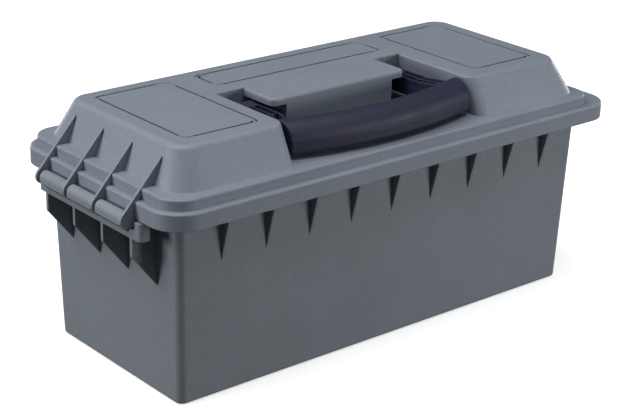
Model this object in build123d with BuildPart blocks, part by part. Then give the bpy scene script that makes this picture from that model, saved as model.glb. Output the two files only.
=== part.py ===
"""Hinged plastic field box: ribbed tub, domed lid, fold-down carry handle and draw latch.

+X runs along the box from the hinge end to the latch end, +Z is up and the
handle folds down towards -Y. The origin is the middle of the flat base.
"""
from build123d import *
from math import cos, radians, sin, tan
import os

# ---- driving dimensions (mm, degrees) ----
BASE_HALF_X = 170.0
BASE_HALF_Y = 68.3
BASE_CORNER = 5.5
END_OFFSET = BASE_HALF_X - BASE_HALF_Y
DRAFT = 1.7
WALL = 2.6
FLOOR = 3.0
LIP_TOP = 133.0
FLANGE_BOTTOM = 122.8
FLANGE_THICK = 3.0

RIM_BOTTOM = 123.3
RIM_TOP = 134.5
STEP_TOP = 141.6
DOME_TOP = 166.4
RIM_HINGE_X = -188.1
RIM_LATCH_X = 196.8
RIM_HALF_Y = 85.65
RIM_CORNER = 20.8
STEP_INSET = 4.9
STEP_LATCH_INSET = 16.6
SKIN = 2.4
DOME_FOOT = (-174.4, 174.4, -73.4, 75.0)
DOME_CROWN = (-164.0, 162.6, -60.5, 62.6)
DOME_EDGE = 5.0

HANDLE_X = -3.2
RECESS_HALF_X = 79.5
RECESS_BACK_Y = 11.5
HOOD_HALF_X = 57.7
HOOD_FRONT_Y = -19.2
HOOD_THICK = 5.2
COLUMN_HALF_X = 46.0
MOUTH_R = 9.5

HINGE_X = -192.7
HINGE_Z = 123.3
LOBE_R = 5.5
HINGE_ROD_R = 2.2
RUN_GAP = 0.05
KNUCKLE_R = 4.25
KNUCKLE_LENGTH = 26.6
RIB_PITCH = 31.6
LID_RIB_Y = [RIB_PITCH * (i - 1.5) for i in range(4)]
KNUCKLE_Y = [RIB_PITCH * (i - 1) for i in range(3)]
LEDGE_X = -190.6

HANDLE_PIVOT_Y = 1.5
HANDLE_PIVOT_Z = 153.5
HANDLE_PEG_R = 3.2
GRIP_FRONT_Y = -75.0
GRIP_DEPTH = 20.0
GRIP_BOTTOM = 144.6
GRIP_TOP = 165.0
GRIP_BOW_R = 262.0
GRIP_HALF_X = 77.2

LATCH_X = 200.5
LATCH_Z = 92.0
CLAW_DROP = 9.0
LATCH_PIN_R = 2.0
BRACKET_Y = 28.0
BRACKET_THICK = 3.0
CHEEK_Y = 23.2
CHEEK_THICK = 4.0
CLAW_HALF_Y = 22.0

GASKET_IN = 68.6
GASKET_OUT = 75.2
GASKET_TOP = 136.6

os.makedirs("parts", exist_ok=True)


def ring_outline(half_y, corner):
    """Rounded rectangle concentric with the tub wall, named by its half width."""
    RectangleRounded(2 * (half_y + END_OFFSET), 2 * half_y, corner)


def span_outline(x0, x1, y0, y1, corner):
    """Rounded rectangle given by its four sides."""
    with Locations(((x0 + x1) / 2, (y0 + y1) / 2)):
        RectangleRounded(x1 - x0, y1 - y0, corner)


def rim_outline(inset):
    """Plan of the lid's lower rim, moved inwards by inset."""
    span_outline(RIM_HINGE_X + inset, RIM_LATCH_X - inset, -RIM_HALF_Y + inset, RIM_HALF_Y - inset,
                 RIM_CORNER - inset)


def step_outline(inset):
    """Plan of the lid's upper step, which stands well back from the rim at the latch end."""
    half_y = RIM_HALF_Y - STEP_INSET - inset
    span_outline(RIM_HINGE_X + STEP_INSET + inset, RIM_LATCH_X - STEP_LATCH_INSET - inset,
                 -half_y, half_y, RIM_CORNER - STEP_INSET - inset)


def dome_loft(inset, base_z, crown_z, mode=Mode.ADD):
    """Sloping dome between its foot and its crown, with every side moved inwards by inset."""
    with BuildSketch(Plane.XY.offset(base_z)) as foot:
        x0, x1, y0, y1 = DOME_FOOT
        span_outline(x0 + inset, x1 - inset, y0 + inset, y1 - inset, 17 - inset)
    with BuildSketch(Plane.XY.offset(crown_z)) as crown:
        x0, x1, y0, y1 = DOME_CROWN
        span_outline(x0 + inset, x1 - inset, y0 + inset, y1 - inset, 13 - inset)
    loft([foot.sketch, crown.sketch], mode=mode)


def slab(x0, x1, y0, y1, z0, z1, mode=Mode.ADD):
    """Box given by its six sides."""
    with Locations(((x0 + x1) / 2, (y0 + y1) / 2, (z0 + z1) / 2)):
        Box(x1 - x0, y1 - y0, z1 - z0, mode=mode)


def wall_half(base_half, z):
    """Half size of the drafted tub wall at height z."""
    return base_half + z * tan(radians(DRAFT))


def tub_block(inset, z0, z1, mode=Mode.ADD):
    """Drafted block that follows the tub's outside, moved inwards by inset, with even corners."""
    with BuildSketch(Plane.XY.offset(z0)) as bottom:
        RectangleRounded(2 * (wall_half(BASE_HALF_X, z0) - inset),
                         2 * (wall_half(BASE_HALF_Y, z0) - inset), BASE_CORNER - inset)
    with BuildSketch(Plane.XY.offset(z1)) as top:
        RectangleRounded(2 * (wall_half(BASE_HALF_X, z1) - inset),
                         2 * (wall_half(BASE_HALF_Y, z1) - inset), BASE_CORNER - inset)
    loft([bottom.sketch, top.sketch], mode=mode)


def side_plate(points, y, thick):
    """Flat plate in the XZ plane, centred on y."""
    with BuildSketch(Plane.XZ.offset(-y)) as outline:
        with BuildLine():
            Polyline(*points, close=True)
        make_face()
    extrude(outline.sketch, amount=thick / 2, both=True)


def end_plate(points, x, thick):
    """Flat plate in the YZ plane, centred on x."""
    with BuildSketch(Plane.YZ.offset(x)) as outline:
        with BuildLine():
            Polyline(*points, close=True)
        make_face()
    extrude(outline.sketch, amount=thick / 2, both=True)


def rod_y(x, z, radius, y0, y1, mode=Mode.ADD):
    """Round bar or hole along Y from y0 to y1."""
    with Locations(Location((x, (y0 + y1) / 2, z), (90, 0, 0))):
        Cylinder(radius, y1 - y0, mode=mode)


def save(builder, name):
    """Label the finished piece and write it to its own file."""
    builder.part.label = name
    export_step(builder.part, f"parts/{name}.step")


# ---- tub: drafted shell, flange, side ribs, hinge tray with knuckles, latch brackets ----
SIDE_RIB_PITCH = 34.9
SIDE_RIB_COUNT = 9
SIDE_RIB_TIP_Z = 90.8
SIDE_RIB_TOP_Y = 79.1
FLANGE_TOP = FLANGE_BOTTOM + FLANGE_THICK
FLANGE_INSET = SKIN + 0.4
GUSSET_TIP_Z = 75.3
GUSSET_KNEE_Z = 98.9
LEDGE_BOTTOM = 111.0
LEDGE_TOP = 114.5
TRAY_WALL_TOP = 117.2
TRAY_HALF_Y = 48.6
PRONG_Y = (51.2, 57.2)
PRONG_DEPTH = 7.2
PRONG_TOP = 122.6

with BuildPart() as tub:
    tub_block(0, 0, LIP_TOP)
    fillet(tub.edges().group_by(Axis.Z)[0], 2.0)

    # flange that the ribs carry and the lid's skirt covers
    with BuildSketch(Plane.XY.offset(FLANGE_BOTTOM)):
        rim_outline(FLANGE_INSET)
    extrude(amount=FLANGE_THICK)

    # triangular ribs under the flange on both long sides
    for i in range(SIDE_RIB_COUNT):
        rib_x = SIDE_RIB_PITCH * (i - (SIDE_RIB_COUNT - 1) / 2)
        for side in (-1, 1):
            root = side * (wall_half(BASE_HALF_Y, SIDE_RIB_TIP_Z) - 0.3)
            inner = side * (wall_half(BASE_HALF_Y, FLANGE_BOTTOM) - 1)
            outer = side * SIDE_RIB_TOP_Y
            end_plate([(inner, FLANGE_BOTTOM + 1), (inner, FLANGE_BOTTOM - 2), (root, SIDE_RIB_TIP_Z),
                       (outer, FLANGE_BOTTOM), (outer, FLANGE_BOTTOM + 1)], rib_x, 2.0)

    # hinge tray: shelf, front web, end prongs and four gussets below
    tray_inner = -wall_half(BASE_HALF_X, LEDGE_BOTTOM) + 1
    slab(LEDGE_X, tray_inner, -TRAY_HALF_Y, TRAY_HALF_Y, LEDGE_BOTTOM, LEDGE_TOP)
    slab(LEDGE_X, LEDGE_X + 2.6, -PRONG_Y[1], PRONG_Y[1], LEDGE_BOTTOM, TRAY_WALL_TOP)
    for side in (-1, 1):
        low, high = sorted((side * PRONG_Y[0], side * PRONG_Y[1]))
        slab(LEDGE_X, LEDGE_X + PRONG_DEPTH, low, high, LEDGE_BOTTOM, PRONG_TOP)
    for y in LID_RIB_Y:
        side_plate([(LEDGE_X, LEDGE_BOTTOM + 1), (LEDGE_X, GUSSET_KNEE_Z),
                    (-wall_half(BASE_HALF_X, GUSSET_TIP_Z) + 0.4, GUSSET_TIP_Z),
                    (tray_inner, GUSSET_TIP_Z + 8), (tray_inner, LEDGE_BOTTOM + 1)], y, 2.4)
    prong_corners = tub.edges().filter_by(Axis.Z).filter_by(
        lambda e: abs(e.center().X - LEDGE_X) < 0.1 and abs(abs(e.center().Y) - PRONG_Y[1]) < 0.1)
    fillet(prong_corners, 3.5)

    # open-backed knuckles that clip over the lid's hinge rod
    for y in KNUCKLE_Y:
        rod_y(HINGE_X, HINGE_Z, KNUCKLE_R, y - KNUCKLE_LENGTH / 2, y + KNUCKLE_LENGTH / 2)
        side_plate([(HINGE_X - KNUCKLE_R, HINGE_Z), (HINGE_X - KNUCKLE_R, HINGE_Z - 3.2),
                    (LEDGE_X, LEDGE_TOP), (LEDGE_X + 2.6, LEDGE_TOP), (LEDGE_X + 2.6, HINGE_Z - 2),
                    (HINGE_X, HINGE_Z)], y, KNUCKLE_LENGTH)

    # latch brackets on the far end
    for side in (-1, 1):
        y = side * (BRACKET_Y + BRACKET_THICK / 2)
        wall_x = wall_half(BASE_HALF_X, LATCH_Z)
        side_plate([(wall_x, FLANGE_BOTTOM + 1), (RIM_LATCH_X - 4, FLANGE_BOTTOM + 1),
                    (LATCH_X + 4.2, LATCH_Z + 4.2), (LATCH_X + 4.2, LATCH_Z - 4.2),
                    (wall_half(BASE_HALF_X, 58) - 0.5, 58)], y, BRACKET_THICK)
        rod_y(LATCH_X, LATCH_Z, 6.0, min(y - 1.5, y + 1.5), max(y - 1.5, y + 1.5))

    # hollow out the tub, the knuckle bores with their open backs, and the bracket holes
    tub_block(WALL, FLOOR, LIP_TOP + 1, mode=Mode.SUBTRACT)
    for y in KNUCKLE_Y:
        y0 = y - KNUCKLE_LENGTH / 2 - 0.1
        y1 = y + KNUCKLE_LENGTH / 2 + 0.1
        rod_y(HINGE_X, HINGE_Z, HINGE_ROD_R + RUN_GAP, y0, y1, mode=Mode.SUBTRACT)
        slab(HINGE_X, HINGE_X + KNUCKLE_R + 1, y0, y1, HINGE_Z - 1.75, HINGE_Z + 1.75, mode=Mode.SUBTRACT)
    rod_y(LATCH_X, LATCH_Z, LATCH_PIN_R, -40, 40, mode=Mode.SUBTRACT)
save(tub, "tub")

# ---- shapes that the lid is finished with ----
GROOVE_WIDTH = 1.8
GROOVE_DEPTH = 1.5
GROOVE_BREAK = 2.5
GROOVE_FADE = 0.4
LID_RIB_THICK = 2.0


def panel_grooves(x0, x1, y0, y1, corner):
    """Two L-shaped grooves round a panel, the back-right one standing out by a small step."""
    floor_plane = Plane.XY.offset(DOME_TOP - GROOVE_DEPTH)
    # the halves are parted along the panel's diagonal
    reach_x, reach_y = (x1 - x0) / 4, (y1 - y0) / 4
    west, east, south, north = x0 - reach_x, x1 + reach_x, y0 - reach_y, y1 + reach_y
    near_half = [(west, north), (west, south), (east, south)]
    far_half = [(east, south), (east, north), (west, north)]
    with BuildPart() as grooves:
        for step, half in ((0, near_half), (GROOVE_BREAK, far_half)):
            with BuildSketch(floor_plane) as loop:
                span_outline(x0 - step, x1 + step, y0 - step, y1 + step, corner + step)
                inner = step - GROOVE_WIDTH
                with BuildSketch(mode=Mode.SUBTRACT):
                    span_outline(x0 - inner, x1 + inner, y0 - inner, y1 + inner, corner + inner)
                with BuildSketch(mode=Mode.INTERSECT):
                    with BuildLine():
                        Polyline(*half, close=True)
                    make_face()
            extrude(loop.sketch, amount=GROOVE_DEPTH + 1)
        # the grooves nearly fade out round the two corners inside the Ls
        fade = corner + 3
        for x, y in ((x0, y0), (x1, y1)):
            slab(x - fade, x + fade, y - fade, y + fade, DOME_TOP - GROOVE_DEPTH - 1,
                 DOME_TOP - GROOVE_FADE, mode=Mode.SUBTRACT)
    return grooves


def front_of_dome(z):
    """Y of the dome's sloping front at height z."""
    share = (z - STEP_TOP) / (DOME_TOP - STEP_TOP)
    return DOME_FOOT[2] + share * (DOME_CROWN[2] - DOME_FOOT[2])


def mouth_corner(side, z, inset, reach):
    """Section of the rounding where a recess wall meets the dome's front, reaching into the recess."""
    radius = MOUTH_R - inset
    wall_x = HANDLE_X + side * (RECESS_HALF_X + inset)
    centre_x = HANDLE_X + side * (RECESS_HALF_X + MOUTH_R)
    centre_y = front_of_dome(z) + MOUTH_R
    middle = (centre_x - side * radius * cos(radians(45)), centre_y - radius * sin(radians(45)))
    with BuildSketch(Plane.XY.offset(z)) as corner:
        with BuildLine():
            ThreePointArc((wall_x, centre_y), middle, (centre_x, centre_y - radius))
            Polyline((centre_x, centre_y - radius), (centre_x, centre_y - MOUTH_R - reach),
                     (HANDLE_X + side * (RECESS_HALF_X - 2), centre_y - MOUTH_R - reach),
                     (HANDLE_X + side * (RECESS_HALF_X - 2), centre_y), (wall_x, centre_y))
        make_face()
    return corner.sketch


left_grooves = panel_grooves(-151.4, -95.8, -48.0, 49.4, 5)
right_grooves = panel_grooves(93.6, 148.0, -47.2, 49.4, 5)
centre_grooves = panel_grooves(-72.4, 70.0, 25.2, 49.4, 4)

with BuildPart() as recess_walls:
    dome_loft(SKIN / 2, STEP_TOP - SKIN, DOME_TOP - SKIN / 2)
    slab(HANDLE_X - RECESS_HALF_X - SKIN, HANDLE_X + RECESS_HALF_X + SKIN, -RIM_HALF_Y,
         RECESS_BACK_Y + SKIN, STEP_TOP - SKIN, DOME_TOP, mode=Mode.INTERSECT)

# solid corners inside the dome that the rounded recess mouth is cut from
with BuildPart() as mouth_pads:
    for side in (-1, 1):
        loft([mouth_corner(side, z, SKIN, 0) for z in (STEP_TOP - SKIN, DOME_TOP)])
    dome_loft(SKIN / 2, STEP_TOP - SKIN, DOME_TOP - SKIN / 2, mode=Mode.INTERSECT)

with BuildPart() as hood:
    slab(HANDLE_X - HOOD_HALF_X, HANDLE_X + HOOD_HALF_X, HOOD_FRONT_Y, RECESS_BACK_Y + 0.5,
         DOME_TOP - HOOD_THICK, DOME_TOP)
    fillet(hood.edges().filter_by(Axis.Z).group_by(Axis.Y)[0], 4)
    hood_rim = hood.edges().group_by(Axis.Z)[-1].filter_by(lambda e: e.center().Y < RECESS_BACK_Y)
    fillet(hood_rim, 2.0)

# ---- lid: rim, step and dome as one thin shell, with the handle recess and hinge ribs ----
with BuildPart() as lid:
    with BuildSketch(Plane.XY.offset(RIM_BOTTOM)):
        rim_outline(0)
    extrude(amount=RIM_TOP - RIM_BOTTOM)
    fillet(lid.edges().group_by(Axis.Z)[-1], 1.3)
    with BuildSketch(Plane.XY.offset(RIM_TOP - 2)):
        step_outline(0)
    extrude(amount=STEP_TOP - RIM_TOP + 2)
    fillet(lid.edges().group_by(Axis.Z)[-1], 1.3)
    dome_loft(0, STEP_TOP, DOME_TOP)
    fillet(lid.edges().group_by(Axis.Z)[-1], DOME_EDGE)

    # inner hollow
    with BuildSketch(Plane.XY.offset(RIM_BOTTOM)):
        rim_outline(SKIN)
    extrude(amount=RIM_TOP - RIM_BOTTOM - SKIN, mode=Mode.SUBTRACT)
    with BuildSketch(Plane.XY.offset(RIM_BOTTOM)):
        step_outline(SKIN)
    extrude(amount=STEP_TOP - RIM_BOTTOM - SKIN, mode=Mode.SUBTRACT)
    dome_loft(SKIN, STEP_TOP - SKIN - 0.1, DOME_TOP - SKIN, mode=Mode.SUBTRACT)

    # seal channel: a flat ring with two hanging ribs
    with BuildSketch(Plane.XY.offset(GASKET_TOP)):
        ring_outline(GASKET_OUT + 2, 11)
        with BuildSketch(mode=Mode.SUBTRACT):
            ring_outline(GASKET_IN - 2, 3)
    extrude(amount=STEP_TOP - GASKET_TOP - 1.2)
    for half_y, corner in ((GASKET_OUT + 2, 11), (GASKET_IN - 0.2, 4.8)):
        with BuildSketch(Plane.XY.offset(LIP_TOP - 3.2)):
            ring_outline(half_y, corner)
            with BuildSketch(mode=Mode.SUBTRACT):
                ring_outline(half_y - 1.8, corner - 1.8)
        extrude(amount=GASKET_TOP - LIP_TOP + 3.3)

    # walls and floor of the handle recess, kept inside the dome's outer skin
    add(recess_walls.part)
    add(mouth_pads.part)
    slab(HANDLE_X - RECESS_HALF_X - SKIN, HANDLE_X + RECESS_HALF_X + SKIN, DOME_FOOT[2] - 1,
         RECESS_BACK_Y + SKIN, STEP_TOP - SKIN, STEP_TOP)
    slab(HANDLE_X - RECESS_HALF_X - MOUTH_R, HANDLE_X + RECESS_HALF_X + MOUTH_R, DOME_FOOT[2] - 1,
         DOME_FOOT[2] + MOUTH_R, STEP_TOP - SKIN, STEP_TOP)
    slab(HANDLE_X - RECESS_HALF_X, HANDLE_X + RECESS_HALF_X, -RIM_HALF_Y, RECESS_BACK_Y, STEP_TOP,
         DOME_TOP + 1, mode=Mode.SUBTRACT)
    for side in (-1, 1):
        loft([mouth_corner(side, z, 0, 3) for z in (STEP_TOP, DOME_TOP + 1)], mode=Mode.SUBTRACT)
    # soften the crown's edge round the mouth and along both recess walls
    mouth_edges = lid.edges().filter_by(
        lambda e: DOME_TOP - e.center().Z < 0.05 and DOME_CROWN[2] < e.center().Y < DOME_CROWN[2] + 15
        and 0.2 < abs(e.center().X - HANDLE_X) - RECESS_HALF_X < MOUTH_R)
    fillet(mouth_edges, 1.4)

    # column and overhanging hood between the handle's arms, hollow from below
    slab(HANDLE_X - COLUMN_HALF_X, HANDLE_X + COLUMN_HALF_X, HOOD_FRONT_Y, RECESS_BACK_Y + 0.5,
         STEP_TOP - 0.5, DOME_TOP - HOOD_THICK)
    add(hood.part)
    slab(HANDLE_X - COLUMN_HALF_X + SKIN, HANDLE_X + COLUMN_HALF_X - SKIN, HOOD_FRONT_Y + SKIN,
         RECESS_BACK_Y + SKIN + 1, STEP_TOP - SKIN - 1, DOME_TOP - SKIN, mode=Mode.SUBTRACT)
    for side in (-1, 1):
        wall_x = HANDLE_X + side * (COLUMN_HALF_X - SKIN / 2)
        with Locations(Location((wall_x, HANDLE_PIVOT_Y, HANDLE_PIVOT_Z), (0, 90, 0))):
            Cylinder(HANDLE_PEG_R + RUN_GAP, SKIN + 2, mode=Mode.SUBTRACT)

    # decorative panel outlines on the crown
    for grooves in (left_grooves, centre_grooves, right_grooves):
        add(grooves.part, mode=Mode.SUBTRACT)

    # hinge ribs with round lobes, joined by the moulded hinge rod
    lobe_top = radians(132.5)
    for y in LID_RIB_Y:
        side_plate([(DOME_CROWN[0] - 4.2, 158.6),
                    (HINGE_X + LOBE_R * cos(lobe_top), HINGE_Z + LOBE_R * sin(lobe_top)),
                    (HINGE_X, HINGE_Z), (RIM_HINGE_X + 1, RIM_BOTTOM), (RIM_HINGE_X + 1, RIM_TOP - 1),
                    (RIM_HINGE_X + STEP_INSET + 1, RIM_TOP - 1),
                    (RIM_HINGE_X + STEP_INSET + 1, STEP_TOP - 1), (DOME_FOOT[0] + 1, STEP_TOP - 1)],
                   y, LID_RIB_THICK)
        rod_y(HINGE_X, HINGE_Z, LOBE_R, y - LID_RIB_THICK / 2, y + LID_RIB_THICK / 2)
    rod_y(HINGE_X, HINGE_Z, HINGE_ROD_R, LID_RIB_Y[0], LID_RIB_Y[-1])
save(lid, "lid")

# ---- lid gasket: closed foam ring in the lid's channel, resting on the tub's lip ----
with BuildPart() as lid_gasket:
    with BuildSketch(Plane.XY.offset(LIP_TOP)):
        ring_outline(GASKET_OUT, 9)
        with BuildSketch(mode=Mode.SUBTRACT):
            ring_outline(GASKET_IN, 5)
    extrude(amount=GASKET_TOP - LIP_TOP)
save(lid_gasket, "lid_gasket")

# ---- carry handle: bowed grip, two ribbed arms with hubs, and inward pivot pegs ----
GRIP_BACK_Y = GRIP_FRONT_Y + GRIP_DEPTH
BOW_CENTRE_Y = GRIP_FRONT_Y + GRIP_DEPTH / 2 + GRIP_BOW_R
ARM_IN = 58.6
ARM_OUT = 71.8
ARM_BEND_Y = -28.0
ARM_FLARE_Y = -39.0
ARM_TOP = 160.0
ARM_BOTTOM = 148.0
ARM_WEB = 1.6
ARM_POCKET_FLOOR = 152.0
ARM_FRONT_Y = -50.0
ARM_FLARE = GRIP_HALF_X - 0.4 - ARM_OUT
ARM_POCKET_BACK = -7.5
HUB_R = 7.0
PEG_TIP = COLUMN_HALF_X - SKIN - 1.2

with BuildPart() as carry_handle:
    # grip: one D-shaped section swung round the bow, cut to length between the recess walls
    with BuildSketch(Plane.YZ.offset(HANDLE_X)) as grip_section:
        with Locations(((GRIP_FRONT_Y + GRIP_BACK_Y) / 2, (GRIP_TOP + GRIP_BOTTOM) / 2)):
            Rectangle(GRIP_DEPTH, GRIP_TOP - GRIP_BOTTOM)
        # up and ahead name each corner by the side of the section it lies on
        for up, ahead, radius in ((1, -1, 12.5), (1, 1, 7.0), (-1, 1, 5.0), (-1, -1, 3.0)):
            fillet(grip_section.vertices().sort_by(lambda v: up * v.Y + ahead * v.X)[-1], radius)
    revolve(grip_section.sketch, axis=Axis((HANDLE_X, BOW_CENTRE_Y, 0), (0, 0, 1)))
    slab(HANDLE_X - GRIP_HALF_X, HANDLE_X + GRIP_HALF_X, GRIP_FRONT_Y - 1, -30, 140, 170,
         mode=Mode.INTERSECT)
    fillet(carry_handle.faces().filter_by(Axis.X).edges(), 0.8)

    # arms that bend outwards to the grip, with two rows of open pockets
    for side in (-1, 1):
        arm_points = [(HANDLE_X + side * x, y) for x, y in (
            (ARM_OUT, HANDLE_PIVOT_Y), (ARM_OUT, ARM_BEND_Y), (ARM_OUT + ARM_FLARE, ARM_FLARE_Y),
            (ARM_OUT + ARM_FLARE, ARM_FRONT_Y), (ARM_IN + ARM_FLARE, ARM_FRONT_Y),
            (ARM_IN + ARM_FLARE, ARM_FLARE_Y - 3), (ARM_IN, ARM_BEND_Y - 3), (ARM_IN, HANDLE_PIVOT_Y))]
        with BuildSketch(Plane.XY.offset(ARM_BOTTOM)) as arm:
            with BuildLine():
                Polyline(*arm_points, close=True)
            make_face()
        extrude(arm.sketch, amount=ARM_TOP - ARM_BOTTOM)
        with Locations(Location((HANDLE_X + side * (ARM_IN + ARM_OUT) / 2, HANDLE_PIVOT_Y,
                                 HANDLE_PIVOT_Z), (0, 90, 0))):
            Cylinder(HUB_R, ARM_OUT - ARM_IN)
        peg_mid = HANDLE_X + side * (ARM_IN + PEG_TIP) / 2
        with Locations(Location((peg_mid, HANDLE_PIVOT_Y, HANDLE_PIVOT_Z), (0, 90, 0))):
            Cylinder(HANDLE_PEG_R, ARM_IN - PEG_TIP + 2)
        cell = (ARM_OUT - ARM_IN - 3 * ARM_WEB) / 2
        for row in (0, 1):
            near = ARM_IN + ARM_WEB + row * (cell + ARM_WEB)
            # a straight pocket behind the bend and a slanting one in front of it
            for corners in (
                    ((near, ARM_POCKET_BACK), (near + cell, ARM_POCKET_BACK),
                     (near + cell, ARM_BEND_Y + ARM_WEB), (near, ARM_BEND_Y + ARM_WEB)),
                    ((near, ARM_BEND_Y), (near + cell, ARM_BEND_Y),
                     (near + cell + ARM_FLARE, ARM_FLARE_Y - 1.5), (near + ARM_FLARE, ARM_FLARE_Y - 1.5))):
                with BuildSketch(Plane.XY.offset(ARM_POCKET_FLOOR)) as pocket:
                    with BuildLine():
                        Polyline(*[(HANDLE_X + side * x, y) for x, y in corners], close=True)
                    make_face()
                extrude(pocket.sketch, amount=ARM_TOP - ARM_POCKET_FLOOR + 1, mode=Mode.SUBTRACT)
save(carry_handle, "carry_handle")

# ---- draw latch on the far end: lever, claw, claw pin and two short pivot pins ----
LEVER_PLATE_X = 206.2
LEVER_PLATE_THICK = 3.0
LEVER_TOP_Z = LATCH_Z - 20
LEVER_END_Z = LATCH_Z - 54
CLAW_PIN_Z = LATCH_Z - CLAW_DROP
LEVER_HALF_Y = CHEEK_Y + CHEEK_THICK
CLAW_GAP = 0.8
CLAW_THICK = 4.0
CLAW_TOE = 11.8
CLAW_TOE_THICK = 5.0

with BuildPart() as latch_lever:
    for side in (-1, 1):
        y = side * (CHEEK_Y + CHEEK_THICK / 2)
        side_plate([(LATCH_X - 4.8, LATCH_Z), (LATCH_X - 4.8, CLAW_PIN_Z), (LEVER_PLATE_X - 1, LEVER_END_Z),
                    (LEVER_PLATE_X + LEVER_PLATE_THICK, LEVER_END_Z),
                    (LEVER_PLATE_X + LEVER_PLATE_THICK, LEVER_TOP_Z), (LATCH_X + 4.8, LATCH_Z)],
                   y, CHEEK_THICK)
        rod_y(LATCH_X, LATCH_Z, 5.2, y - CHEEK_THICK / 2, y + CHEEK_THICK / 2)
    slab(LEVER_PLATE_X, LEVER_PLATE_X + LEVER_PLATE_THICK, -LEVER_HALF_Y, LEVER_HALF_Y, LEVER_END_Z,
         LEVER_TOP_Z)
    side_plate([(LEVER_PLATE_X, LEVER_END_Z), (LEVER_PLATE_X + 8, LEVER_END_Z),
                (LEVER_PLATE_X + LEVER_PLATE_THICK, LEVER_END_Z + 9)], 0, 2 * LEVER_HALF_Y)
    for i in range(4):
        grip_z = LEVER_END_Z + 14 + 5 * i
        slab(LEVER_PLATE_X + 1, LEVER_PLATE_X + LEVER_PLATE_THICK + 0.9, -18, 18, grip_z, grip_z + 2)
    rod_y(LATCH_X, LATCH_Z, LATCH_PIN_R + RUN_GAP, -LEVER_HALF_Y - 1, LEVER_HALF_Y + 1,
          mode=Mode.SUBTRACT)
    rod_y(LATCH_X, CLAW_PIN_Z, LATCH_PIN_R, -LEVER_HALF_Y - 1, LEVER_HALF_Y + 1, mode=Mode.SUBTRACT)
save(latch_lever, "latch_lever")

with BuildPart() as latch_claw:
    claw_in = RIM_LATCH_X + CLAW_GAP
    claw_top = RIM_TOP + 0.3 + CLAW_TOE_THICK
    side_plate([(claw_in, CLAW_PIN_Z), (claw_in, RIM_TOP + 0.3), (RIM_LATCH_X - CLAW_TOE, RIM_TOP + 0.3),
                (RIM_LATCH_X - CLAW_TOE, claw_top - 1.5), (RIM_LATCH_X - CLAW_TOE + 1.5, claw_top),
                (claw_in + CLAW_THICK - 1.5, claw_top), (claw_in + CLAW_THICK, claw_top - 1.5),
                (claw_in + CLAW_THICK, CLAW_PIN_Z)], 0, 2 * CLAW_HALF_Y)
    rod_y(LATCH_X, CLAW_PIN_Z, 4.2, -CLAW_HALF_Y, CLAW_HALF_Y)
    for y in (-13, 0, 13):
        side_plate([(claw_in + CLAW_THICK - 0.5, CLAW_PIN_Z + 12), (claw_in + CLAW_THICK + 1.8, 100),
                    (claw_in + CLAW_THICK + 1.8, 128), (claw_in + CLAW_THICK - 0.5, 135)], y, 2.4)
    rod_y(LATCH_X, CLAW_PIN_Z, LATCH_PIN_R + RUN_GAP, -CLAW_HALF_Y - 1, CLAW_HALF_Y + 1,
          mode=Mode.SUBTRACT)
save(latch_claw, "latch_claw")

with BuildPart() as latch_claw_pin:
    rod_y(LATCH_X, CLAW_PIN_Z, LATCH_PIN_R, -LEVER_HALF_Y, LEVER_HALF_Y)
    chamfer(latch_claw_pin.edges(), 0.4)
save(latch_claw_pin, "latch_claw_pin")

with BuildPart() as latch_pivot_pins:
    for side in (-1, 1):
        head_y = side * (BRACKET_Y + BRACKET_THICK)
        ends = sorted((side * CHEEK_Y, head_y))
        rod_y(LATCH_X, LATCH_Z, LATCH_PIN_R, ends[0], ends[1])
        ends = sorted((head_y, head_y + side * 1.6))
        rod_y(LATCH_X, LATCH_Z, 3.6, ends[0], ends[1])
save(latch_pivot_pins, "latch_pivot_pins")
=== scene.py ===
import math

import bpy
from mathutils import Matrix, Vector


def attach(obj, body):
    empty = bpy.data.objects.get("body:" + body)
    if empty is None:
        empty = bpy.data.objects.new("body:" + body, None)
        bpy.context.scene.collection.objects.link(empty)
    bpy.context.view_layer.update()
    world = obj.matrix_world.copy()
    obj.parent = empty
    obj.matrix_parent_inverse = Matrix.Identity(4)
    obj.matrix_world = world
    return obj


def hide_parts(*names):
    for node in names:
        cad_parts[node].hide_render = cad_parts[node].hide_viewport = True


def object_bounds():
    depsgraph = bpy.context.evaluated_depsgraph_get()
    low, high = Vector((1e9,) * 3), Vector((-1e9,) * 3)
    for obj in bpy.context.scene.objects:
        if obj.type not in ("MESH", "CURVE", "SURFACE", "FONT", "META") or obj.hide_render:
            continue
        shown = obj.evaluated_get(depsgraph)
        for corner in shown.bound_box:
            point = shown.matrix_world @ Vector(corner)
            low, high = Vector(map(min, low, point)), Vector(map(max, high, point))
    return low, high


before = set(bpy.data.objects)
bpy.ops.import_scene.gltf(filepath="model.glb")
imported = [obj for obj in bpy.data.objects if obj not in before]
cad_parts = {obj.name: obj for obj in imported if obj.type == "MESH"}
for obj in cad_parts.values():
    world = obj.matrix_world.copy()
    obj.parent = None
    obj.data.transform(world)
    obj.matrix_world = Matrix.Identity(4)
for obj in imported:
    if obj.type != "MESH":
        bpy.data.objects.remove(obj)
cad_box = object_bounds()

MM = 0.001

# ---- base colours, linear ----
LID_SLATE = (0.192, 0.220, 0.264)
TUB_SLATE = (0.190, 0.217, 0.246)
CHARCOAL = (0.021, 0.023, 0.042)
HANDLE_BLACK = (0.015, 0.017, 0.040)
FOAM_BLACK = (0.020, 0.020, 0.021)
STEEL = (0.56, 0.57, 0.58)

# ---- noise: the range that most of its values fall in ----
NOISE_MIDDLE = (0.30, 0.70)

# ---- moulded plastic: noise scales per metre, from the widest pattern to the finest ----
FLOW_SCALE = 14.0
CLOUD_SCALE = 90.0
TEXTURE_SCALE = 620.0
DUST_SCALE = 900.0
GRAIN_SCALE = 1500.0
FINE_SCALE = 4200.0
FINE_SHARE = 0.5

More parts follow.
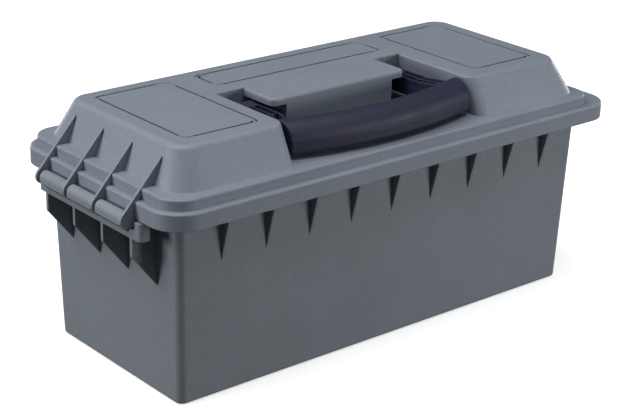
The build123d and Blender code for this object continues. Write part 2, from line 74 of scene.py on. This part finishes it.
# shades of the base colour, as factors of it, how far the patterns bring them in, and the
# noise values between which they do
FLOW_DARK, FLOW_LIGHT = 0.93, 1.06
FLOW_RANGE = (0.35, 0.65)
CLOUD_SHADE, CLOUD_MIX = 0.95, 0.5
TEXTURE_SHADE, TEXTURE_MIX = 1.22, 0.8
DUST_SHADE = 2.4
DUST_RANGE = (0.70, 0.76)

# edges are found where the rounded normal parts from the face's own: no edge at the first
# dot product, full edge at the second. They are made lighter, partly as rubbed wear and partly
# as a painted highlight, and this comes and goes in patches
EDGE_RADIUS = 0.5 * MM
EDGE_SAMPLES = 6
EDGE_RANGE = (0.995, 0.90)
EDGE_LEAST_LIGHTENED = 0.25
EDGE_PATCH_RANGE = (0.40, 0.62)
EDGE_POLISH = 0.08

# painted shade darkens grooves and inner corners narrower than this
PAINTED_SHADE_REACH = 2.4 * MM
PAINTED_SHADE_SAMPLES = 8
PAINTED_SHADE_MOST = 0.80
PAINTED_SHADE_FACTOR = 0.18
# from fullest painted shade to none, by the share of open space round a place
PAINTED_SHADE_RANGE = (0.15, 0.70)

# roughness falls and rises by this much with the cloud pattern
GLOSS_FALL, GLOSS_RISE = -0.04, 0.05
GRAIN_STRENGTH = 0.5

# the grip's parting line
PARTING_Z = 154.8 * MM
PARTING_CORE = 0.15 * MM
PARTING_HALF = 0.45 * MM
PARTING_SHADE, PARTING_MIX = 2.6, 0.55
PARTING_LEAST = 0.35
PARTING_WEAR_RANGE = (0.35, 0.55)
PARTING_RISE = 1.5

# ---- foam: cells and dusty patches, scales per metre ----
FOAM_CELL_SCALE = 1400.0
FOAM_CLOUD_SCALE = 160.0
FOAM_CELL_DARK, FOAM_CELL_LIGHT = 0.6, 1.5
FOAM_CELL_RANGE = (0.1, 0.6)
FOAM_DUST_SHADE, FOAM_DUST_MIX = 2.2, 0.4
FOAM_DUST_RANGE = (0.4, 0.7)
FOAM_PIT_DEPTH = 0.25 * MM
FOAM_PIT_STRENGTH = 0.8
FOAM_ROUGHNESS = 0.92

# ---- steel: lines drawn round the pin, which lies along Y, and stains ----
STEEL_LINES = (300.0, 4000.0, 300.0)
STEEL_STAIN_SCALE = 220.0
STEEL_STAIN_SHADE, STEEL_STAIN_MIX = 0.6, 0.6
STEEL_STAIN_RANGE = (0.45, 0.70)
STEEL_LINE_DEPTH = 0.03 * MM
STEEL_LINE_STRENGTH = 0.3
STEEL_SMOOTH, STEEL_ROUGH = 0.28, 0.45

# sockets of the colour mix node, which share their names with its other kinds
MIX_FIRST, MIX_SECOND, MIX_RESULT = 6, 7, 2

# ---- foam seal: half sizes of its centre line, section and butt joint ----
SEAL_HALF_X = 173.6 * MM
SEAL_HALF_Y = 71.9 * MM
SEAL_CORNER = 7.0 * MM
SEAL_ARC_STEPS = 10
SEAL_STEP = 4.0 * MM
SEAL_BOTTOM = 133.0 * MM
SEAL_HEIGHT = 3.6 * MM
SEAL_WIDTH = 6.6 * MM
SEAL_EDGE_R = 0.9 * MM
SEAL_EDGE_STEPS = 4
SEAL_PRESS = 0.25 * MM
SEAL_PRESS_HALF, SEAL_PRESS_FLOOR_HALF = 1.5 * MM, 1.2 * MM
SEAL_BUTT_X = 40.0 * MM
SEAL_BUTT_WIDTH = 3.0 * MM
SEAL_BUTT_PINCH = 0.10
# the strip is this share of its full width, and wavers by two small sines of its place,
# whose rates are in radians per metre, along X and along X and Y
SEAL_FILL = 0.985
SEAL_WAVE, SEAL_WAVE_RATE = 0.012, 190
SEAL_RIPPLE, SEAL_RIPPLE_RATES = 0.008, (90, 310)
# the height gives way to the pinch only past this much
SEAL_PINCH_SLACK = 0.02

# ---- view: metres, degrees and millimetres of lens ----
CAMERA_AT = (-0.7283, -0.8518, 0.5122)
CAMERA_AZIMUTH, CAMERA_ELEVATION, CAMERA_ROLL = -40.19, 21.56, 1.43
SENSOR = 36.0
LENS = 100.22

# ---- floor and light ----
FLOOR_SIZE = 14.0
FLOOR_COLOUR = (0.92, 0.92, 0.92, 1)
FLOOR_CLOUD_SCALE = 3.0
FLOOR_SHADE = 0.99
FLOOR_ROUGHNESS = 0.9
# the floor's own light keeps it near white outside the softboxes' reach
FLOOR_GLOW = 0.60
# keeps the floor clear of the tub's flat base, which stands at zero
FLOOR_DROP = 0.3 * MM
SKY_COLOUR = (1.0, 1.0, 1.0, 1)
SKY_STRENGTH = 0.075
# name, place and size in metres, power in watts
SOFTBOXES = (
    ("overhead_softbox", (-0.2, 0.3, 1.8), (1.6, 1.2), 10.2),
    ("overhead_front_softbox", (0.1, -0.5, 1.8), (1.2, 0.8), 11.0),
    ("high_left_softbox", (-1.0, 0.35, 1.35), (0.8, 0.8), 10.5),
    ("low_left_softbox", (-1.7, 0.7, 0.35), (0.6, 0.6), 13.0),
    ("front_right_softbox", (1.1, -1.5, 0.30), (0.9, 0.5), 15.8),
    # below the crown's height, so that they fill only the two far walls
    ("latch_end_softbox", (1.6, 0.2, 0.11), (0.9, 0.08), 5.0),
    ("back_softbox", (0.2, 1.6, 0.11), (0.9, 0.08), 5.0),
)


class Surface:
    """One material's node tree, filled by short calls."""

    def __init__(self, name):
        self.material = bpy.data.materials.new(name)
        self.material.use_nodes = True
        self.tree = self.material.node_tree
        self.tree.nodes.clear()

    def add(self, kind, settings=(), **inputs):
        """Adds a shader node, sets its settings and fills or links its inputs by name."""
        made = self.tree.nodes.new("ShaderNode" + kind)
        for key, value in dict(settings).items():
            setattr(made, key, value)
        for key, value in inputs.items():
            self.fill(made.inputs[key.replace("_", " ")], value)
        return made

    def fill(self, socket, value):
        """Links the socket to another one, or sets its constant value."""
        if isinstance(value, bpy.types.NodeSocket):
            self.tree.links.new(value, socket)
        else:
            socket.default_value = value

    def math(self, operation, *values):
        """Result of a maths node on one to three values."""
        made = self.add("Math", {"operation": operation})
        for socket, value in zip(made.inputs, values):
            self.fill(socket, value)
        return made.outputs[0]

    def span(self, value, low, high, out_low=0.0, out_high=1.0):
        """Value moved smoothly from one range to another, held at its ends."""
        made = self.add("MapRange", {"interpolation_type": "SMOOTHSTEP"}, Value=value)
        ends = {"From Min": low, "From Max": high, "To Min": out_low, "To Max": out_high}
        for key, number in ends.items():
            made.inputs[key].default_value = number
        return made.outputs[0]

    def noise(self, place, scale, detail=2.0, roughness=0.5):
        """Noise of 0 to 1 at place."""
        made = self.add("TexNoise", Vector=place, Scale=scale, Detail=detail, Roughness=roughness)
        return made.outputs["Fac"]

    def mix(self, amount, first, second):
        """Colour between first and second."""
        made = self.add("Mix", {"data_type": "RGBA"})
        self.fill(made.inputs["Factor"], amount)
        self.fill(made.inputs[MIX_FIRST], first)
        self.fill(made.inputs[MIX_SECOND], second)
        return made.outputs[MIX_RESULT]

    def out(self, shader):
        """Makes the shader the surface, and gives the finished material."""
        self.add("OutputMaterial", Surface=shader.outputs[0])
        return self.material


def tint(colour, factor):
    """Opaque colour made lighter or darker."""
    return tuple(min(1.0, channel * factor) for channel in colour) + (1,)


def moulded_plastic(name, colour, roughness, edge_wear_and_highlight, grain_height, speck_mix,
                    sheen_level=0.5, parting_z=None):
    """Satin injection-moulded plastic: flow mottling, fine grain, specks, edges lightened partly
    by rubbed wear and partly as a painted highlight, and painted shade in grooves and inner
    corners.

    The edge argument gives the edges' colour, lightened partly for rubbed wear and partly as a
    painted highlight, as a factor of the base colour. parting_z is the height of a raised line
    left by the mould, on pieces that show one.
    """
    s = Surface(name)
    place = s.add("TexCoord").outputs["Object"]
    flow = s.noise(place, FLOW_SCALE, detail=3.0)
    cloud = s.noise(place, CLOUD_SCALE, detail=4.0, roughness=0.6)
    texture = s.noise(place, TEXTURE_SCALE, detail=3.0, roughness=0.75)
    dust = s.noise(place, DUST_SCALE, detail=3.0, roughness=0.7)
    grain = s.noise(place, GRAIN_SCALE)
    fine = s.noise(place, FINE_SCALE, detail=1.0)

    rounded = s.add("Bevel", {"samples": EDGE_SAMPLES}, Radius=EDGE_RADIUS).outputs["Normal"]
    facing = s.add("NewGeometry").outputs["Normal"]
    agree = s.add("VectorMath", {"operation": "DOT_PRODUCT"})
    s.fill(agree.inputs[0], rounded)
    s.fill(agree.inputs[1], facing)
    edge = s.span(agree.outputs["Value"], *EDGE_RANGE)
    patchiness = s.span(cloud, *EDGE_PATCH_RANGE, EDGE_LEAST_LIGHTENED, 1.0)
    worn_and_highlit = s.math("MULTIPLY", edge, patchiness)

    body = s.mix(s.span(flow, *FLOW_RANGE), tint(colour, FLOW_DARK), tint(colour, FLOW_LIGHT))
    body = s.mix(s.span(cloud, *NOISE_MIDDLE, 0.0, CLOUD_MIX), body, tint(colour, CLOUD_SHADE))
    body = s.mix(s.span(texture, *NOISE_MIDDLE, 0.0, TEXTURE_MIX), body,
                 tint(colour, TEXTURE_SHADE))
    body = s.mix(s.span(dust, *DUST_RANGE, 0.0, speck_mix), body, tint(colour, DUST_SHADE))
    # edges made lighter: partly rubbed wear, partly a painted highlight
    body = s.mix(worn_and_highlit, body, tint(colour, edge_wear_and_highlight))
    # painted shade: the colour darkens in grooves and inner corners, where ambient occlusion finds
    # little open space
    occlusion = s.add("AmbientOcclusion", {"samples": PAINTED_SHADE_SAMPLES}, Distance=PAINTED_SHADE_REACH)
    painted_shade = s.span(occlusion.outputs["AO"], *PAINTED_SHADE_RANGE, PAINTED_SHADE_MOST, 0.0)
    body = s.mix(painted_shade, body, tint(colour, PAINTED_SHADE_FACTOR))

    height = s.math("ADD", grain, s.math("MULTIPLY", fine, FINE_SHARE))
    if parting_z is not None:
        level = s.add("SeparateXYZ", Vector=place).outputs["Z"]
        away = s.math("ABSOLUTE", s.math("SUBTRACT", level, parting_z))
        line = s.span(away, PARTING_CORE, PARTING_HALF, 1.0, 0.0)
        patchiness = s.span(cloud, *PARTING_WEAR_RANGE, PARTING_LEAST, 1.0)
        broken = s.math("MULTIPLY", line, patchiness)
        body = s.mix(s.math("MULTIPLY", broken, PARTING_MIX), body, tint(colour, PARTING_SHADE))
        height = s.math("MULTIPLY_ADD", line, PARTING_RISE, height)
    bump = s.add("Bump", Strength=GRAIN_STRENGTH, Distance=grain_height, Height=height,
                 Normal=rounded)
    gloss = s.math("ADD", s.span(cloud, *NOISE_MIDDLE, GLOSS_FALL, GLOSS_RISE), roughness)
    gloss = s.math("SUBTRACT", gloss, s.math("MULTIPLY", edge, EDGE_POLISH))
    return s.out(s.add("BsdfPrincipled", Base_Color=body, Roughness=gloss,
                       Specular_IOR_Level=sheen_level, Normal=bump.outputs["Normal"]))


def closed_foam(name, colour):
    """Black closed-cell foam, finely pitted."""
    s = Surface(name)
    place = s.add("TexCoord").outputs["Object"]
    cells = s.add("TexVoronoi", Vector=place, Scale=FOAM_CELL_SCALE).outputs["Distance"]
    cloud = s.noise(place, FOAM_CLOUD_SCALE, detail=3.0)
    body = s.mix(s.span(cells, *FOAM_CELL_RANGE), tint(colour, FOAM_CELL_DARK),
                 tint(colour, FOAM_CELL_LIGHT))
    body = s.mix(s.span(cloud, *FOAM_DUST_RANGE, 0.0, FOAM_DUST_MIX), body,
                 tint(colour, FOAM_DUST_SHADE))
    bump = s.add("Bump", Strength=FOAM_PIT_STRENGTH, Distance=FOAM_PIT_DEPTH, Height=cells)
    return s.out(s.add("BsdfPrincipled", Base_Color=body, Roughness=FOAM_ROUGHNESS,
                       Normal=bump.outputs["Normal"]))


def drawn_steel(name, colour):
    """Bright drawn steel, with fine lines round the pin."""
    s = Surface(name)
    place = s.add("TexCoord").outputs["Object"]
    stretched = s.add("Mapping", Vector=place, Scale=STEEL_LINES).outputs["Vector"]
    lines = s.noise(stretched, 1.0, detail=3.0)
    stain = s.noise(place, STEEL_STAIN_SCALE, detail=3.0)
    body = s.mix(s.span(stain, *STEEL_STAIN_RANGE, 0.0, STEEL_STAIN_MIX), tint(colour, 1.0),
                 tint(colour, STEEL_STAIN_SHADE))
    bump = s.add("Bump", Strength=STEEL_LINE_STRENGTH, Distance=STEEL_LINE_DEPTH, Height=lines)
    gloss = s.span(lines, *NOISE_MIDDLE, STEEL_SMOOTH, STEEL_ROUGH)
    return s.out(s.add("BsdfPrincipled", Base_Color=body, Metallic=1.0, Roughness=gloss,
                       Normal=bump.outputs["Normal"]))


def paint(node, material):
    """Gives every slot of a CAD node the same material."""
    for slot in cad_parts[node].material_slots:
        slot.material = material


def make_floor():
    """White studio floor, far larger than the view."""
    s = Surface("studio_floor")
    place = s.add("TexCoord").outputs["Object"]
    body = s.mix(s.noise(place, FLOOR_CLOUD_SCALE), FLOOR_COLOUR,
                 tint(FLOOR_COLOUR[:3], FLOOR_SHADE))
    material = s.out(s.add("BsdfPrincipled", Base_Color=body, Roughness=FLOOR_ROUGHNESS,
                           Emission_Color=FLOOR_COLOUR, Emission_Strength=FLOOR_GLOW))
    mesh = bpy.data.meshes.new("studio_floor")
    half = FLOOR_SIZE / 2
    corners = [(-half, -half, -FLOOR_DROP), (half, -half, -FLOOR_DROP),
               (half, half, -FLOOR_DROP), (-half, half, -FLOOR_DROP)]
    mesh.from_pydata(corners, [], [(0, 1, 2, 3)])
    mesh.materials.append(material)
    floor = bpy.data.objects.new("studio_floor", mesh)
    bpy.context.scene.collection.objects.link(floor)
    # the floor catches shadows but sends no light back up the walls
    floor.visible_diffuse = False
    floor.visible_glossy = False


def make_camera():
    """Long lens, above the hinge end's front corner."""
    data = bpy.data.cameras.new("camera")
    data.sensor_width = SENSOR
    data.lens = LENS
    camera = bpy.data.objects.new("camera", data)
    bpy.context.scene.collection.objects.link(camera)
    camera.matrix_world = (
        Matrix.Translation(CAMERA_AT)
        @ Matrix.Rotation(math.radians(CAMERA_AZIMUTH), 4, "Z")
        @ Matrix.Rotation(math.radians(90 - CAMERA_ELEVATION), 4, "X")
        @ Matrix.Rotation(math.radians(CAMERA_ROLL), 4, "Z")
    )
    bpy.context.scene.camera = camera


def area_light(name, place, size, power):
    """Softbox at place, aimed at the middle of the object."""
    data = bpy.data.lights.new(name, "AREA")
    data.shape = "RECTANGLE"
    data.size, data.size_y = size
    data.energy = power
    light = bpy.data.objects.new(name, data)
    light.visible_camera = False
    bpy.context.scene.collection.objects.link(light)
    target = (cad_box[0] + cad_box[1]) / 2
    light.matrix_world = (
        Matrix.Translation(place)
        @ (target - Vector(place)).to_track_quat("-Z", "Y").to_matrix().to_4x4()
    )


def make_light():
    """Faint even sky and the softboxes."""
    world = bpy.data.worlds.new("studio")
    world.use_nodes = True
    background = world.node_tree.nodes["Background"]
    background.inputs["Color"].default_value = SKY_COLOUR
    background.inputs["Strength"].default_value = SKY_STRENGTH
    bpy.context.scene.world = world
    for name, place, size, power in SOFTBOXES:
        area_light(name, place, size, power)
    bpy.context.scene.view_settings.view_transform = "Standard"


def seal_stations():
    """Places along the seal's centre line, each with the direction that points out of the ring."""
    stations = []
    corners = ((1, 1, 0), (-1, 1, 90), (-1, -1, 180), (1, -1, 270))
    straight_x, straight_y = SEAL_HALF_X - SEAL_CORNER, SEAL_HALF_Y - SEAL_CORNER
    centres = [Vector((side_x * straight_x, side_y * straight_y, 0))
               for side_x, side_y, _ in corners]
    for index, (_, _, start) in enumerate(corners):
        for step in range(SEAL_ARC_STEPS + 1):
            angle = math.radians(start + 90 * step / SEAL_ARC_STEPS)
            outward = Vector((math.cos(angle), math.sin(angle), 0))
            stations.append((centres[index] + outward * SEAL_CORNER, outward))
        run = centres[(index + 1) % len(centres)] - centres[index]
        pieces = max(2, round(run.length / SEAL_STEP))
        for step in range(1, pieces):
            along = centres[index] + run * step / pieces
            stations.append((along + outward * SEAL_CORNER, outward))
    return stations


def seal_profile():
    """The seal's section, as places across it and up from its underside."""
    profile = []
    quarters = ((1, 1, 0), (-1, 1, 90), (-1, -1, 180), (1, -1, 270))
    for side, rise, start in quarters:
        for step in range(SEAL_EDGE_STEPS + 1):
            angle = math.radians(start + 90 * step / SEAL_EDGE_STEPS)
            across = side * (SEAL_WIDTH / 2 - SEAL_EDGE_R) + SEAL_EDGE_R * math.cos(angle)
            up = SEAL_HEIGHT / 2 + rise * (SEAL_HEIGHT / 2 - SEAL_EDGE_R)
            profile.append((across, up + SEAL_EDGE_R * math.sin(angle)))
        if side == -1 and rise == -1:
            # the lip has pressed a shallow groove along the underside
            profile += [(-SEAL_PRESS_HALF, 0.0), (-SEAL_PRESS_FLOOR_HALF, SEAL_PRESS),
                        (SEAL_PRESS_FLOOR_HALF, SEAL_PRESS), (SEAL_PRESS_HALF, 0.0)]
    return profile


def seal_ring(material):
    """Foam seal strip under the lid, with rolled edges, a pressed groove and one butt joint."""
    stations, profile = seal_stations(), seal_profile()
    points, faces = [], []
    butt = Vector((SEAL_BUTT_X, SEAL_HALF_Y, 0))
    rate_x, rate_y = SEAL_RIPPLE_RATES
    for place, outward in stations:
        wave = (1 + SEAL_WAVE * math.sin(place.x * SEAL_WAVE_RATE)
                + SEAL_RIPPLE * math.sin(place.y * rate_y + place.x * rate_x))
        fullness = min(1.0, SEAL_FILL * wave)
        near_butt = math.exp(-((place - butt).length / SEAL_BUTT_WIDTH) ** 2)
        pinch = 1 - SEAL_BUTT_PINCH * near_butt
        thickness = min(1.0, pinch + SEAL_PINCH_SLACK)
        for across, up in profile:
            point = place + outward * (across * fullness * pinch)
            high = SEAL_HEIGHT - (SEAL_HEIGHT - up) * thickness
            points.append((point.x, point.y, SEAL_BOTTOM + high))
    count, ring = len(stations), len(profile)
    for i in range(count):
        j = (i + 1) % count
        for k in range(ring):
            m = (k + 1) % ring
            faces.append((i * ring + k, j * ring + k, j * ring + m, i * ring + m))
    mesh = bpy.data.meshes.new("seal_ring")
    mesh.from_pydata(points, [], faces)
    mesh.materials.append(material)
    for face in mesh.polygons:
        face.use_smooth = True
    seal = bpy.data.objects.new("seal_ring", mesh)
    bpy.context.scene.collection.objects.link(seal)
    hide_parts("lid_gasket")
    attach(seal, "lid")


make_camera()
make_light()
make_floor()

lid_plastic = moulded_plastic(
    "lid_plastic", LID_SLATE, roughness=0.48, edge_wear_and_highlight=1.35, grain_height=0.10 * MM,
    speck_mix=0.35)
tub_plastic = moulded_plastic(
    "tub_plastic", TUB_SLATE, roughness=0.52, edge_wear_and_highlight=1.30, grain_height=0.10 * MM,
    speck_mix=0.30)
handle_plastic = moulded_plastic(
    "handle_plastic", HANDLE_BLACK, roughness=0.56, edge_wear_and_highlight=1.8, grain_height=0.20 * MM,
    speck_mix=0.30, sheen_level=0.38, parting_z=PARTING_Z)
latch_plastic = moulded_plastic(
    "latch_plastic", CHARCOAL, roughness=0.55, edge_wear_and_highlight=1.8, grain_height=0.07 * MM,
    speck_mix=0.15, sheen_level=0.35)
seal_foam = closed_foam("seal_foam", FOAM_BLACK)
pin_steel = drawn_steel("pin_steel", STEEL)

paint("lid", lid_plastic)
paint("tub", tub_plastic)
paint("carry_handle", handle_plastic)
for node in ("latch_lever", "latch_claw"):
    paint(node, latch_plastic)
seal_ring(seal_foam)
for node in ("latch_claw_pin", "latch_pivot_pins"):
    paint(node, pin_steel)
